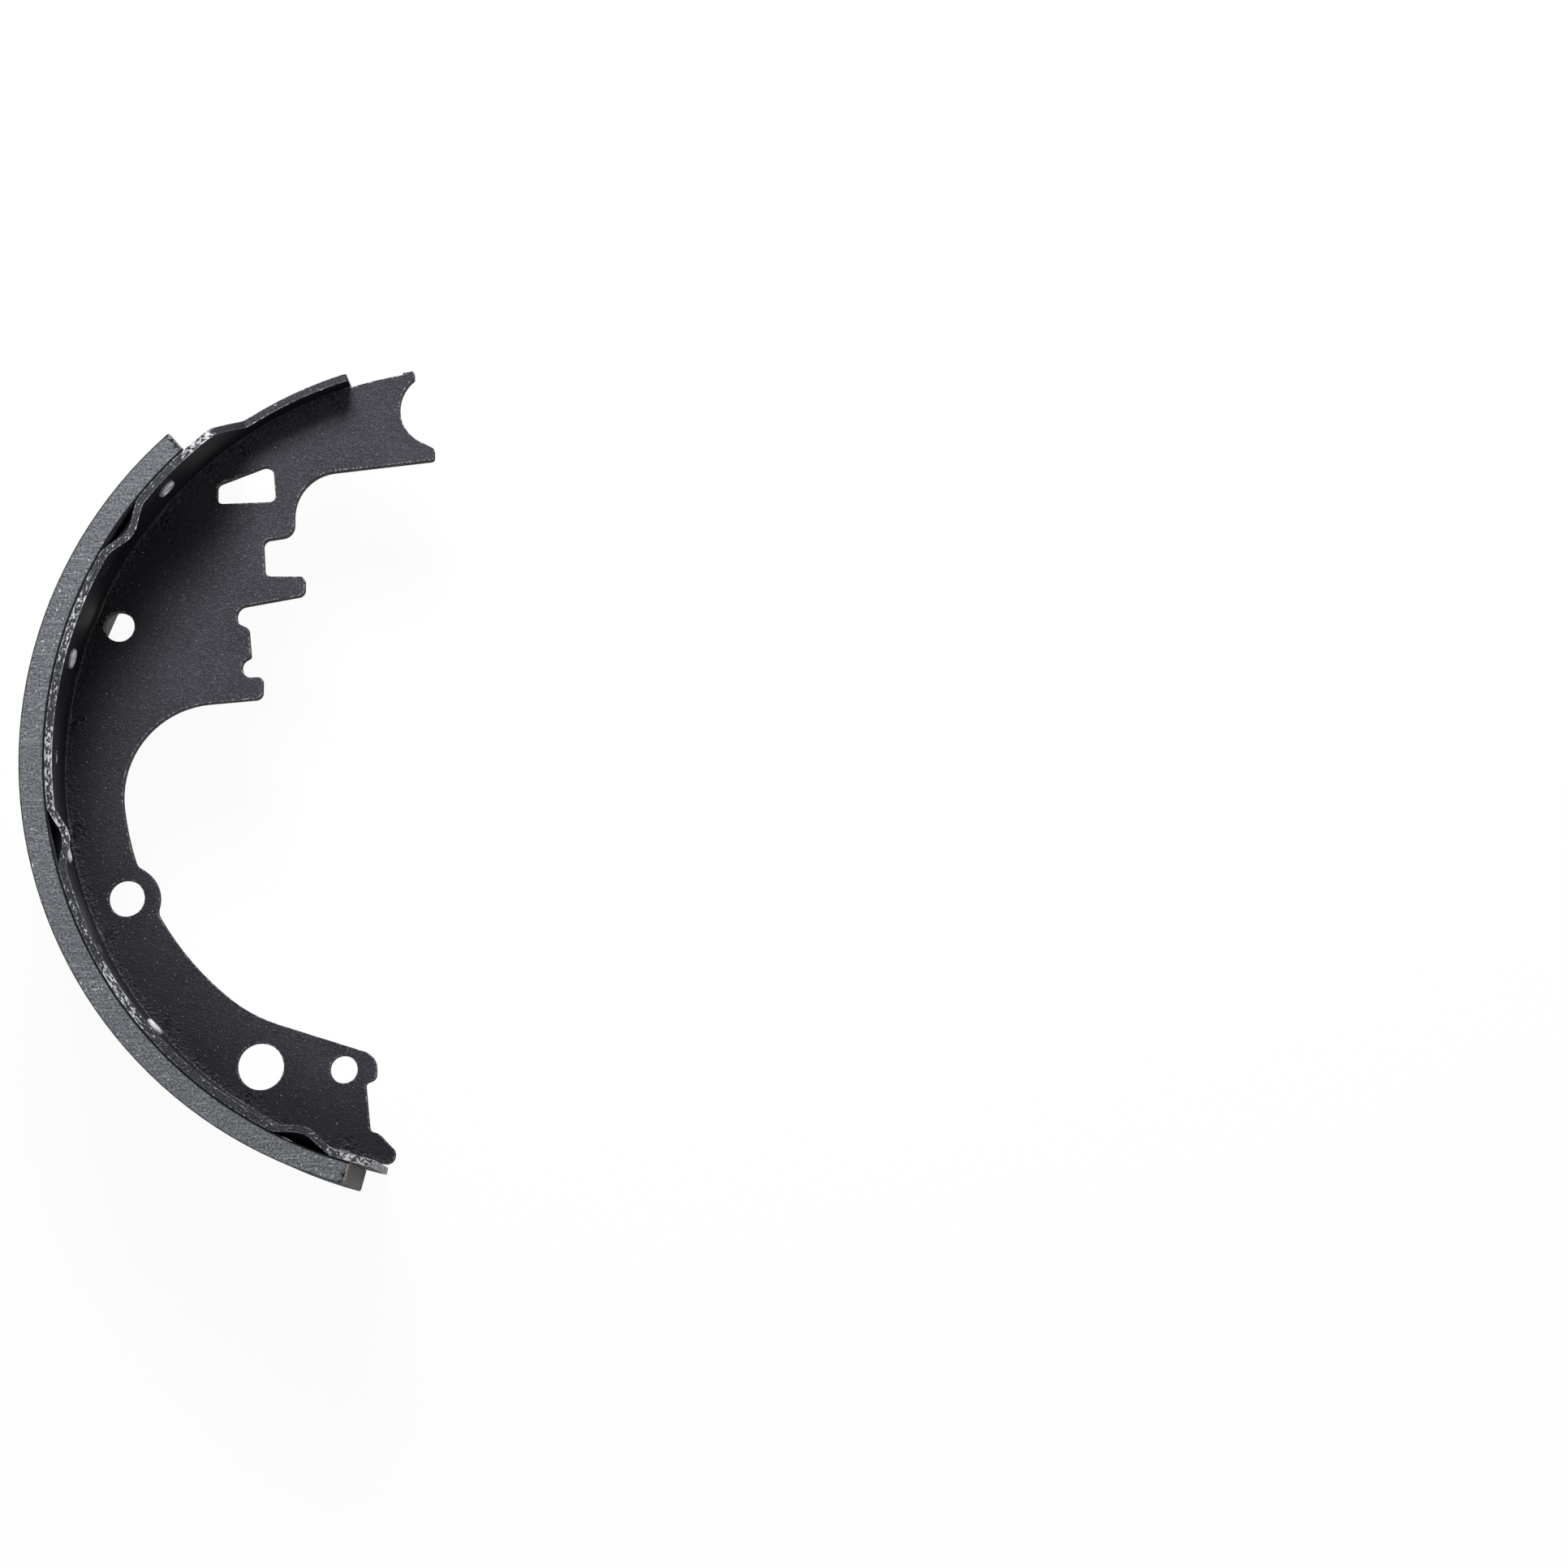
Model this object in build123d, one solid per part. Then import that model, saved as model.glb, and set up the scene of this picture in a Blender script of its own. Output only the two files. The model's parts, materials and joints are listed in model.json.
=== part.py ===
from build123d import *
import os
from math import cos, degrees, pi, radians, sin, sqrt, tan

# Drum brake shoe with a riveted lining, lying on one side edge of its rim.
# It is drawn about the drum axis, which runs along Z, and moved at the end so that
# the origin is under the middle of its bounding box.
# Millimetres and degrees. Angles run round the rim's centre from -X, positive toward +Y.

# Whole shoe
drum_radius = 139.7
shoe_width = 76.0
shoe_middle_angle = -13.6

# Rim, the curved table that carries the lining
# Its arc is a little smaller than the drum's and its centre lies off the drum axis,
# because the lining is ground thicker in the middle than at its ends.
rim_centre_offset = 1.75
rim_thickness = 2.4
rim_top_angle = 72.5
rim_bottom_angle = -77.7
rim_end_corner_radius = 3.0
rim_rivet_hole_diameter = 5.1

# Narrow tab at the rim's anchor end, and the sloping shoulders that lead to it
tab_width = 28.4
tab_root_angle = 56.8
tab_end_corner_radius = 1.8
tab_root_radius = 3.0
shoulder_run = 10.8
shoulder_corner_radius = 4.0

# Nibs, three on each side edge of the rim, pressed inward to ride on the backing plate
nib_top_angle = 33.9
nib_middle_angle = -11.4
nib_bottom_angle = -67.4
nib_length = 23.0
nib_depth = 3.4
nib_reach = 7.6

# Spot weld dimples down the middle of the rim's outer face
weld_top_angle = 70.3
weld_pitch = 15.9
weld_count = 10
weld_dimple_length = 7.0
weld_dimple_width = 3.0
weld_dimple_depth = 0.4

# Lining
lining_thickness = 8.25
lining_top_angle = 47.6
lining_bottom_angle = -74.7
lining_seat_gap = 0.15
lining_floor = 3.0
lining_end_round = 0.8
lining_shank_hole_diameter = 5.4
counterbore_diameter = 9.7

# Rivets, five rows of two, with a free rim hole between each two rows
rivet_rows = 5
rivet_middle_angle = -13.2
rivet_row_pitch = 27.7
rivet_column_spacing = 52.6
rivet_head_diameter = 8.7
rivet_head_thickness = 1.4
rivet_head_chamfer = 0.3
rivet_shank_diameter = 4.8
rivet_roll_diameter = 6.6
rivet_roll_height = 1.3
rivet_roll_chamfer = 0.6
rivet_roll_clearance = 0.1
rivet_bore_diameter = 3.0
rivet_bore_depth = 3.2
rivet_bore_flare = 0.6

# Web, the flat plate welded across the middle of the rim
web_thickness = 6.0
weld_gap = 0.05
bay_centre_x = -17.0
bay_centre_y = -0.6
bay_inset = 36.9

# Shallow gap in the web's outer edge, against the rim
edge_gap_top_angle = 33.0
edge_gap_bottom_angle = 28.8
edge_gap_depth = 1.0

# Past the tab the web's outer edge lies this much inside the rim's inner face
bare_edge_drop = 0.4

# Anchor end of the web: notch for the anchor pin, with a nub above it and a horn below
# The pin's centre stands inside the web's edge, and the rest is measured from it.
anchor_angle = 84.66
anchor_inset = 12.75
anchor_notch_radius = 12.4
nub_right_x = -7.7
nub_width = 3.7
nub_height = 0.7
nub_round = 0.7
horn_tip_x = -1.0
horn_top_y = -13.3
horn_bottom_y = -16.85
horn_tip_round = 1.2
horn_root_x = -5.6
horn_root_y = -11.0
arm_underside_slope = 6.7

# Upper arm: places from here to the lower finger, and the window's, are measured
# from the point of the web's edge at this angle
upper_arm_angle = 33.0
throat_x = 52.3
throat_radius = 14.6

# Strut slot, open toward the drum axis
slot_top_y = 3.1
slot_bottom_y = -8.9
slot_back_x = 42.2
slot_back_lean = 0.7
slot_top_slope = 8.8
slot_mouth_radius = 4.3
slot_corner_radius = 2.4

# Upper finger and the spring notch under it
upper_finger_x = 55.9
upper_finger_bottom_y = -14.8
upper_finger_top_round = 1.5
upper_finger_bottom_round = 2.4
upper_finger_slope = 10.4
upper_notch_x = 33.0
upper_notch_lean = 1.4
upper_notch_bottom_y = -24.3
upper_notch_top_radius = 3.5
notch_radius = 3.0
notch_slant = 1.8

# Wall between the two spring notches
wall_top_x = 37.8
wall_top_y = -25.9
wall_bottom_x = 38.6
wall_bottom_y = -35.0
wall_corner_round = 0.9

# Lower spring notch and the lower finger
lower_notch_x = 35.4
lower_notch_lean = 0.8
lower_finger_x = 42.5
lower_finger_top_y = -41.8
lower_finger_bottom_y = -48.6
lower_finger_top_round = 1.2
lower_finger_bottom_round = 2.5
lower_finger_slope = 5.1
relief_radius = 30.3

# Lever pivot lobe on the bay's edge
pivot_angle = -20.96
pivot_inset = 12.45
pivot_hole_diameter = 11.9
pivot_lobe_radius = 10.7
pivot_lobe_blend = 4.0

# Lower arm and the notch for the adjuster, between a thick finger and the toe
# Places here and those of the arm's two holes are measured from the point of the
# web's edge at this angle.
lower_arm_angle = -68.0
lower_arm_y = 29.8
lower_arm_x = 14.4
lower_arm_slope = 17.4
lower_arm_blend = 50.0
adjuster_finger_x = 19.5
adjuster_finger_bottom_y = 20.5
adjuster_finger_top_round = 5.4
adjuster_finger_bottom_round = 2.6
adjuster_floor_x = 16.0
adjuster_floor_top_y = 19.2
adjuster_floor_bottom_y = 4.1
adjuster_floor_lean = 1.5
adjuster_floor_round = 1.3
toe_shoulder_x = 20.5
toe_shoulder_y = 2.95
toe_shoulder_round = 2.0
toe_tip_x = 25.7
toe_tip_y = -2.45
toe_round = 2.4
toe_end_round = 3.0

# Holes through the web
hold_down_angle = 22.01
hold_down_inset = 8.11
hold_down_hole_diameter = 9.9
spring_hole_x = -17.8
spring_hole_y = 24.6
spring_hole_diameter = 15.2
small_hole_x = 9.0
small_hole_y = 23.7
small_hole_diameter = 9.0

# Four-sided window in the upper arm
window_left_x = 27.2
window_right_top_x = 45.3
window_right_bottom_x = 46.4
window_left_top_y = 21.4
window_right_top_y = 28.4
window_left_bottom_y = 14.8
window_right_bottom_y = 15.5
window_corner_radius = 2.0
window_right_top_radius = 2.9

# Worked out from the sizes above
mid_z = shoe_width / 2
rim_radius = drum_radius - lining_thickness + rim_centre_offset
rim_inner_radius = rim_radius - rim_thickness
web_radius = rim_inner_radius - weld_gap
bare_edge_radius = web_radius - bare_edge_drop
bay_radius = web_radius - bay_inset
rivet_column = rivet_column_spacing / 2
head_seat = lining_seat_gap + lining_floor
nib_half_angle = degrees(nib_length / 2 / rim_radius)
reach = 3 * drum_radius
cut_room = 5 * rim_thickness


def polar(radius, angle, centre=(0.0, 0.0)):
    """The point at a radius and an angle round a centre."""
    x = centre[0] - radius * cos(radians(angle))
    y = centre[1] + radius * sin(radians(angle))
    return (x, y)


rim_centre = polar(-rim_centre_offset, shoe_middle_angle)
bay_centre = (bay_centre_x, bay_centre_y)
anchor = polar(web_radius - anchor_inset, anchor_angle, rim_centre)
pivot = polar(web_radius - pivot_inset, pivot_angle, rim_centre)
hold_down = polar(web_radius - hold_down_inset, hold_down_angle, rim_centre)
upper_place = polar(web_radius, upper_arm_angle, rim_centre)
lower_place = polar(web_radius, lower_arm_angle, rim_centre)


def shifted(place, x, y):
    """The point that lies x and y away from a place."""
    return (place[0] + x, place[1] + y)


lower_finger = shifted(upper_place, lower_finger_x, lower_finger_bottom_y)
lower_arm_end = shifted(lower_place, lower_arm_x, lower_arm_y)


def disc(radius, centre):
    """A round face in the XY plane."""
    return Pos(centre[0], centre[1]) * Circle(radius)


def polygon(points):
    """A face from a list of corners."""
    return make_face(Polyline(*points, close=True))


def wedge(start_angle, end_angle):
    """A pie slice round the rim's centre, larger than the shoe."""
    steps = 4
    corners = [rim_centre]
    for step in range(steps + 1):
        angle = start_angle + (end_angle - start_angle) * step / steps
        corners.append(polar(reach, angle, rim_centre))
    return polygon(corners)


def slab(face, bottom, top):
    """A face in the XY plane given its height from one z to another."""
    return extrude(Pos(0, 0, bottom) * face, top - bottom, dir=(0, 0, 1))


def square_to_rim(angle, z):
    """The plane on the rim's outer face, with its normal pointing at the drum."""
    x, y = polar(rim_radius, angle, rim_centre)
    along = (sin(radians(angle)), cos(radians(angle)), 0)
    outward = (-cos(radians(angle)), sin(radians(angle)), 0)
    return Plane(origin=(x, y, z), x_dir=along, z_dir=outward)


def round_corner(face, point, radius):
    """Rounds the corner of a flat face that lies nearest to a point."""
    corner = face.vertices().sort_by_distance(Vector(point[0], point[1], 0))[0]
    return fillet(corner, radius)


def rivet_angles():
    """The rows that hold rivets, from the anchor end down."""
    first = rivet_middle_angle + rivet_row_pitch * (rivet_rows - 1) / 2
    return [first - rivet_row_pitch * row for row in range(rivet_rows)]


def free_hole_angles():
    """The rows of empty rim holes, midway between the rivet rows."""
    return [angle - rivet_row_pitch / 2 for angle in rivet_angles()[:-1]]


def column_heights():
    """The two heights at which the rivet columns stand."""
    return (mid_z + rivet_column, mid_z - rivet_column)


def weld_angles():
    """The spot welds, from the anchor end down."""
    return [weld_top_angle - weld_pitch * spot for spot in range(weld_count)]


def nib(angle, edge_z, inner_z):
    """One nib: the rim's strip bent inward at its edge, running out flat."""
    steps = 8

    def wave(radius):
        points = []
        for step in range(steps + 1):
            share = 2 * step / steps - 1
            press = nib_depth * (1 + cos(pi * share)) / 2
            points.append(polar(radius - press, angle + share * nib_half_angle, rim_centre))
        return points

    def tangent(at):
        return (sin(radians(at)), cos(radians(at)))

    ends = [tangent(angle - nib_half_angle), tangent(angle + nib_half_angle)]
    outer = wave(rim_radius)
    inner = wave(rim_inner_radius)
    bent = make_face(
        [
            Spline(*outer, tangents=ends),
            Line(outer[-1], inner[-1]),
            Spline(*inner, tangents=ends),
            Line(inner[0], outer[0]),
        ]
    )
    outer_middle = polar(rim_radius, angle, rim_centre)
    inner_middle = polar(rim_inner_radius, angle, rim_centre)
    flat = make_face(
        [
            ThreePointArc(outer[0], outer_middle, outer[-1]),
            Line(outer[-1], inner[-1]),
            ThreePointArc(inner[0], inner_middle, inner[-1]),
            Line(inner[0], outer[0]),
        ]
    )
    return loft([Pos(0, 0, edge_z) * bent, Pos(0, 0, inner_z) * flat], ruled=True)


def make_rim():
    ring = disc(rim_radius, rim_centre) - disc(rim_inner_radius, rim_centre)
    rim = slab(ring & wedge(rim_bottom_angle, rim_top_angle), 0, shoe_width)

    # Shoulders and tab, cut square to the rim at the tab's root
    root = square_to_rim(tab_root_angle, mid_z)
    half_tab = tab_width / 2
    half_rim = shoe_width / 2
    beyond = 1.5
    tab_angle = rim_top_angle - tab_root_angle + shoulder_run
    tab_cut_height = rim_radius * (1 - cos(radians(tab_angle))) + cut_room
    for side in (1, -1):
        corners = [
            (0, side * half_tab),
            (reach, side * half_tab),
            (reach, side * reach),
            (-beyond * shoulder_run, side * reach),
            (-beyond * shoulder_run, side * (half_tab + beyond * (half_rim - half_tab))),
        ]
        rim -= extrude(root * polygon(corners), tab_cut_height, both=True)

    # Rounded corners, found by where each one lies
    shoulder_angle = tab_root_angle - degrees(shoulder_run / rim_radius)
    for side in (1, -1):
        for angle, off_middle, radius in (
            (rim_top_angle, half_tab, tab_end_corner_radius),
            (tab_root_angle, half_tab, tab_root_radius),
            (shoulder_angle, half_rim, shoulder_corner_radius),
            (rim_bottom_angle, half_rim, rim_end_corner_radius),
        ):
            x, y = polar(rim_radius - rim_thickness / 2, angle, rim_centre)
            place = Vector(x, y, mid_z + side * off_middle)
            rim = fillet(rim.edges().sort_by_distance(place)[0], radius)

    # Nibs
    for angle in (nib_top_angle, nib_middle_angle, nib_bottom_angle):
        strip = ring & wedge(angle - nib_half_angle, angle + nib_half_angle)
        for edge_z, inner_z in ((shoe_width, shoe_width - nib_reach), (0, nib_reach)):
            rim -= slab(strip, min(edge_z, inner_z), max(edge_z, inner_z))
            rim += nib(angle, edge_z, inner_z)

    # Rivet holes, used and free
    for angle in rivet_angles() + free_hole_angles():
        for z in column_heights():
            hole = Cylinder(rim_rivet_hole_diameter / 2, 2 * cut_room)
            rim -= square_to_rim(angle, z) * hole

    # Dimples left by the spot welds
    dimple = SlotOverall(weld_dimple_length, weld_dimple_width)
    for angle in weld_angles():
        outer_face = square_to_rim(angle, mid_z)
        rim -= extrude(outer_face * dimple, weld_dimple_depth, both=True)
    return rim


def make_lining():
    seat = disc(rim_radius + lining_seat_gap, rim_centre)
    block = (disc(drum_radius, (0, 0)) - seat) & wedge(lining_bottom_angle, lining_top_angle)
    for angle in (lining_top_angle, lining_bottom_angle):
        block = round_corner(block, polar(drum_radius, angle), lining_end_round)
    lining = slab(block, 0, shoe_width)
    room = drum_radius - rim_radius + 2 * rim_centre_offset
    for angle in rivet_angles():
        for z in column_heights():
            seat_plane = square_to_rim(angle, z)
            shank_hole = Cylinder(lining_shank_hole_diameter / 2, 2 * room)
            counterbore = Cylinder(
                counterbore_diameter / 2, room, align=(Align.CENTER, Align.CENTER, Align.MIN)
            )
            lining -= seat_plane * shank_hole
            lining -= seat_plane * Pos(0, 0, head_seat) * counterbore
    return lining


def rivet_section():
    """Half of a semi-tubular rivet: flat head, shank and a tail rolled over the rim."""
    head_radius = rivet_head_diameter / 2
    head_top = head_seat + rivet_head_thickness
    shank_radius = rivet_shank_diameter / 2
    bore_radius = rivet_bore_diameter / 2
    roll_radius = rivet_roll_diameter / 2
    roll_top = -(rim_thickness + rivet_roll_clearance)
    roll_bottom = roll_top - rivet_roll_height
    bore_end = roll_bottom + rivet_bore_depth
    return polygon(
        [
            (0, head_top),
            (head_radius - rivet_head_chamfer, head_top),
            (head_radius, head_top - rivet_head_chamfer),
            (head_radius, head_seat),
            (shank_radius, head_seat),
            (shank_radius, roll_top),
            (roll_radius, roll_top),
            (roll_radius, roll_bottom + rivet_roll_chamfer),
            (roll_radius - rivet_roll_chamfer, roll_bottom),
            (bore_radius + rivet_bore_flare, roll_bottom),
            (bore_radius, roll_bottom + rivet_bore_flare),
            (bore_radius, bore_end),
            (0, bore_end),
        ]
    )


def make_rivet(angle, z):
    section = Plane.XZ * rivet_section()
    return square_to_rim(angle, z) * revolve(section, Axis.Z, 360)


def outline(corners):
    """A face from (point, corner radius) pairs."""
    points = [corner[0] for corner in corners]
    radii = [corner[1] for corner in corners]
    return make_face(FilletPolyline(*points, radius=radii, close=True))


def upper_arm():
    """The anchor end: outline from the nub down to the lower finger, closed outside."""

    def arm(x, y):
        return shifted(upper_place, x, y)

    throat = arm(throat_x, slot_top_y)
    horn_bottom = shifted(anchor, horn_tip_x, horn_bottom_y)
    underside_drop = (horn_bottom[0] - throat[0]) * tan(radians(arm_underside_slope))
    slot_top_rise = (throat_x - slot_back_x) * tan(radians(slot_top_slope))
    finger_drop = (upper_finger_x - upper_notch_x) * tan(radians(upper_finger_slope))
    lower_drop = (lower_finger[0] + reach) * tan(radians(lower_finger_slope))
    nub_root = shifted(anchor, nub_right_x, 0)
    return outline(
        [
            (nub_root, 0),
            (shifted(anchor, horn_root_x, horn_root_y), 0),
            (shifted(anchor, horn_tip_x, horn_top_y), horn_tip_round),
            (horn_bottom, horn_tip_round),
            ((throat[0], horn_bottom[1] - underside_drop), throat_radius),
            (arm(throat_x, slot_top_y + slot_top_rise), slot_mouth_radius),
            (arm(slot_back_x, slot_top_y), slot_corner_radius),
            (arm(slot_back_x + slot_back_lean, slot_bottom_y), slot_corner_radius),
            (arm(upper_finger_x, slot_bottom_y), upper_finger_top_round),
            (arm(upper_finger_x, upper_finger_bottom_y), upper_finger_bottom_round),
            (arm(upper_notch_x, upper_finger_bottom_y - finger_drop), upper_notch_top_radius),
            (arm(upper_notch_x + upper_notch_lean, upper_notch_bottom_y), notch_radius),
            (arm(wall_top_x, wall_top_y), wall_corner_round),
            (arm(wall_bottom_x, wall_bottom_y), wall_corner_round),
            (arm(lower_notch_x, wall_bottom_y - notch_slant), notch_radius),
            (arm(lower_notch_x + lower_notch_lean, lower_finger_top_y), notch_radius),
            (arm(lower_finger_x, lower_finger_top_y), lower_finger_top_round),
            (lower_finger, lower_finger_bottom_round),
            ((-reach, lower_finger[1] - lower_drop), 0),
            ((-reach, reach), 0),
            ((nub_root[0], reach), 0),
        ]
    )


def lower_arm():
    """The adjuster end: the arm's straight inner edge, the adjuster notch and the toe."""

    def arm(x, y):
        return shifted(lower_place, x, y)

    rise = tan(radians(lower_arm_slope))
    finger_top_y = lower_arm_y - (adjuster_finger_x - lower_arm_x) * rise
    far_left_y = lower_arm_end[1] + (lower_arm_end[0] + reach) * rise
    toe_tip = arm(toe_tip_x, toe_tip_y)
    return outline(
        [
            ((-reach, far_left_y), 0),
            (arm(adjuster_finger_x, finger_top_y), adjuster_finger_top_round),
            (arm(adjuster_finger_x, adjuster_finger_bottom_y), adjuster_finger_bottom_round),
            (arm(adjuster_floor_x, adjuster_floor_top_y), adjuster_floor_round),
            (arm(adjuster_floor_x + adjuster_floor_lean, adjuster_floor_bottom_y), adjuster_floor_round),
            (arm(toe_shoulder_x, toe_shoulder_y), toe_shoulder_round),
            (toe_tip, toe_round),
            ((toe_tip[0], -reach), 0),
            ((-reach, -reach), 0),
        ]
    )


def circle_meets_line(centre, radius, point, slope):
    """Where a circle meets a line of the given slope, on the circle's left side."""
    dx = cos(radians(slope))
    dy = sin(radians(slope))
    px = point[0] - centre[0]
    py = point[1] - centre[1]
    along = px * dx + py * dy
    away = px * px + py * py - radius * radius
    t = -along - sqrt(along * along - away)
    return (point[0] + t * dx, point[1] + t * dy)


def make_web():
    table = disc(web_radius, rim_centre)
    middle = polygon(
        [
            (-reach, lower_finger[1]),
            (bay_centre_x, lower_finger[1]),
            (bay_centre_x, lower_arm_end[1]),
            (-reach, lower_arm_end[1]),
        ]
    )
    middle -= disc(bay_radius, bay_centre)
    arm = upper_arm()
    profile = (arm + middle + lower_arm()) & table
    profile = round_corner(profile, (lower_place[0] + toe_tip_x, -web_radius), toe_end_round)

    # Bare edge past the tab, with a nub above the anchor notch
    profile -= wedge(rim_top_angle, anchor_angle) - disc(bare_edge_radius, rim_centre)
    nub_right = anchor[0] + nub_right_x
    nub_left = nub_right - nub_width
    nub = arm & disc(bare_edge_radius + nub_height, rim_centre)
    nub &= Pos((nub_left + nub_right) / 2, rim_centre[1] + web_radius) * Rectangle(nub_width, 2 * cut_room)
    nub_top = rim_centre[1] + bare_edge_radius + nub_height
    for side in (nub_right, nub_left):
        nub = round_corner(nub, (side, nub_top), nub_round)
    profile += nub
    profile -= disc(anchor_notch_radius, anchor)

    # Long blends where the bay meets the two arms
    upper_meet = circle_meets_line(bay_centre, bay_radius, lower_finger, lower_finger_slope)
    lower_meet = circle_meets_line(bay_centre, bay_radius, lower_arm_end, -lower_arm_slope)
    profile = round_corner(profile, upper_meet, relief_radius)
    profile = round_corner(profile, lower_meet, lower_arm_blend)

    # Pivot lobe, with small blends where it meets the bay
    profile += Pos(*pivot) * Rot(0, 0, 180) * Circle(pivot_lobe_radius)
    lobe_ends = profile.vertices().sort_by_distance(Vector(*pivot, 0))[:2]
    profile = fillet(lobe_ends, pivot_lobe_blend)

    # Shallow gap against the rim
    gap_floor = disc(web_radius - edge_gap_depth, rim_centre)
    profile -= wedge(edge_gap_bottom_angle, edge_gap_top_angle) - gap_floor
    web = slab(profile, mid_z - web_thickness / 2, mid_z + web_thickness / 2)

    # Holes
    for centre, diameter in (
        (hold_down, hold_down_hole_diameter),
        (pivot, pivot_hole_diameter),
        (shifted(lower_place, spring_hole_x, spring_hole_y), spring_hole_diameter),
        (shifted(lower_place, small_hole_x, small_hole_y), small_hole_diameter),
    ):
        web -= Pos(*centre, mid_z) * Cylinder(diameter / 2, 2 * web_thickness)
    window = outline(
        [
            (shifted(upper_place, window_left_x, window_left_top_y), window_corner_radius),
            (shifted(upper_place, window_right_top_x, window_right_top_y), window_right_top_radius),
            (shifted(upper_place, window_right_bottom_x, window_right_bottom_y), window_corner_radius),
            (shifted(upper_place, window_left_x, window_left_bottom_y), window_corner_radius),
        ]
    )
    web -= slab(window, mid_z - web_thickness, mid_z + web_thickness)
    return web


parts = {"web": make_web(), "rim": make_rim(), "lining": make_lining()}
number = 0
for row_angle in rivet_angles():
    for column_z in column_heights():
        number += 1
        parts[f"lining_rivet_{number:02d}"] = make_rivet(row_angle, column_z)

# Origin under the middle of the box that holds every piece
whole = Compound(children=[Compound([piece]) for piece in parts.values()]).bounding_box()
to_origin = Pos(-(whole.min.X + whole.max.X) / 2, -(whole.min.Y + whole.max.Y) / 2, -whole.min.Z)

os.makedirs("parts", exist_ok=True)
for name, piece in parts.items():
    export_step(to_origin * piece, f"parts/{name}.step")
print("drum axis at", to_origin.position.X, to_origin.position.Y)
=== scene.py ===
import json
from math import degrees, radians

import bmesh
import bpy
from mathutils import Matrix, Vector


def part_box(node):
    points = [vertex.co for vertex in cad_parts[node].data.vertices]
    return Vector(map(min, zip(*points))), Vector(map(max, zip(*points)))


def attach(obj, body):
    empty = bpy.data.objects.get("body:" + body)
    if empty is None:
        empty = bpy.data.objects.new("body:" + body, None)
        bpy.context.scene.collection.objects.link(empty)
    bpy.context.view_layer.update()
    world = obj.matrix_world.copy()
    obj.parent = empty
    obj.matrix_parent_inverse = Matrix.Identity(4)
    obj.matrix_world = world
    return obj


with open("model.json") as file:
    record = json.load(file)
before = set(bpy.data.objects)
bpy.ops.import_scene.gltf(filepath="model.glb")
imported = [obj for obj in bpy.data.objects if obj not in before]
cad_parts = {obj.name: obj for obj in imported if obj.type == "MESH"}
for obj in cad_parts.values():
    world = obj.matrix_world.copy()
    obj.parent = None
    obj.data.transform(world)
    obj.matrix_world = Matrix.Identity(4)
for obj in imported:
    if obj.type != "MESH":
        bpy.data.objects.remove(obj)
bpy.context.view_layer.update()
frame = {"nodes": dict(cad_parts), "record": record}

# Web: a flat plate blanked from thick steel in one press stroke, with its notches and holes.
# The whole shoe is dipped in a thin charcoal coating, satin and slightly grainy. The sheared
# edges lose it first, and along the rim it lies rough over the flash of the spot welds.
drum_radius = 0.1397
rim_centre_offset = 0.00175
drum_face = [mount for mount in frame["record"]["mounts"] if mount["name"] == "drum_face"][0]
face_direction = Vector(drum_face["axis"])
drum_axis = Vector(drum_face["pos_m"]) - drum_radius * face_direction
drum_axis.z = 0
rim_centre = drum_axis - rim_centre_offset * face_direction
rim_inner_radius = 0.1308

# Angles are in degrees round the rim's centre and grow toward the anchor end. Pitches are
# counted from well below the first spot weld, so that each one lies at half a count.
weld_top_angle = 70.3
weld_pitch = 15.9
spot_count_start = 20.5
spot_at = 0.5
flash_end = 70.0
flash_end_fade = 0.5
flash_band = (rim_inner_radius - 0.0034, rim_inner_radius - 0.0018)
burst_band = (rim_inner_radius - 0.0062, rim_inner_radius - 0.0048)
burst_reach = (0.05, 0.09)
burst_shake = (-0.05, 0.05)
relief_middle = 1.02
relief_strength = 1.8
flash_band_strength = 0.45
# Painted shade: beside the rim the web is darkened where the rim keeps the lamp's light off, less
# toward the anchor end where the tab is low.
rim_shade_band = (rim_inner_radius - 0.035, rim_inner_radius - 0.006)
rim_shade_strength = 0.85
rim_shade_thinning = (35, 58)
rim_shade_at_anchor_end = 0.3
drag_line_pattern = (2200, 2200, 160)

# The first colour is the rim's blackest coating tone, and also the painted shade on the web beside
# the rim.
coat_black_and_painted_shade = (0.003, 0.003, 0.004, 1)
web_black = (0.012, 0.0122, 0.015, 1)
web_charcoal = (0.025, 0.0255, 0.0305, 1)
web_grain = (0.062, 0.0625, 0.075, 1)
web_speck = (0.6, 0.61, 0.63, 1)
sheared_grey = (0.005, 0.0052, 0.0065, 1)
flash_black = (0.0025, 0.0026, 0.0032, 1)
flash_speck = (0.08, 0.082, 0.09, 1)
bare_steel = (0.5, 0.51, 0.52, 1)
gloss_tint = (0.86, 0.87, 1.0, 1)

# Most of a noise lies between the cloud limits. A mask of specks or breaks grows to full over
# its softness, and a corner is where the rounded normal and the face's own agree this little.
cloud_limits = (0.3, 0.7)
speck_softness = 0.08
break_softness = 0.07
corner_limits = (0.995, 0.8)
nodes_in_row = 8
node_step = 260


def add_node(tree, kind, **settings):
    """One node of a tree, with its properties set. Nodes stand in rows, as they are made."""
    row, column = divmod(len(tree.nodes), nodes_in_row)
    node = tree.nodes.new(kind)
    node.location = (column * node_step, -row * node_step)
    for name, setting in settings.items():
        setattr(node, name, setting)
    return node


def feed(tree, source, socket):
    """Gives a node's input another node's output, or a plain number, vector or colour."""
    if isinstance(source, bpy.types.NodeSocket):
        tree.links.new(source, socket)
    else:
        socket.default_value = source


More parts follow.
